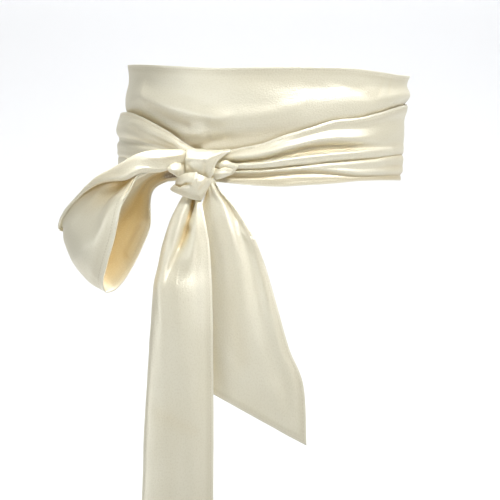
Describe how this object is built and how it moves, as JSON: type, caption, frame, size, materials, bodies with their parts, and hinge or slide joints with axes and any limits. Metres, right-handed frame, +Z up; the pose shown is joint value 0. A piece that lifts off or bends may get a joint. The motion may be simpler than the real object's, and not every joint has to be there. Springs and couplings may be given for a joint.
{
  "type": "satin sash",
  "caption": "Wide satin sash as worn: wrapped round the waist, gathered and tied at the front left in a half bow with a loop and hanging tails.",
  "frame": {"origin": "centre of the waist, at the mid-height of the wrapped band", "axes": "+Z up, the front with the knot faces -Y, +X to the right of a viewer who faces the front"},
  "size_m": [0.3064, 0.2371, 0.6102],
  "materials": {
    "satin": "glossy cream satin weave with soft folds"
  },
  "bodies": {
    "root": {"first_turn": "satin", "outer_turn": "satin", "bow_loop": "satin", "left_tail": "satin", "right_tail": "satin", "upper_strap": "satin", "lower_strap": "satin", "side_fold": "satin", "loop_root": "satin"}
  },
  "joints": []
}
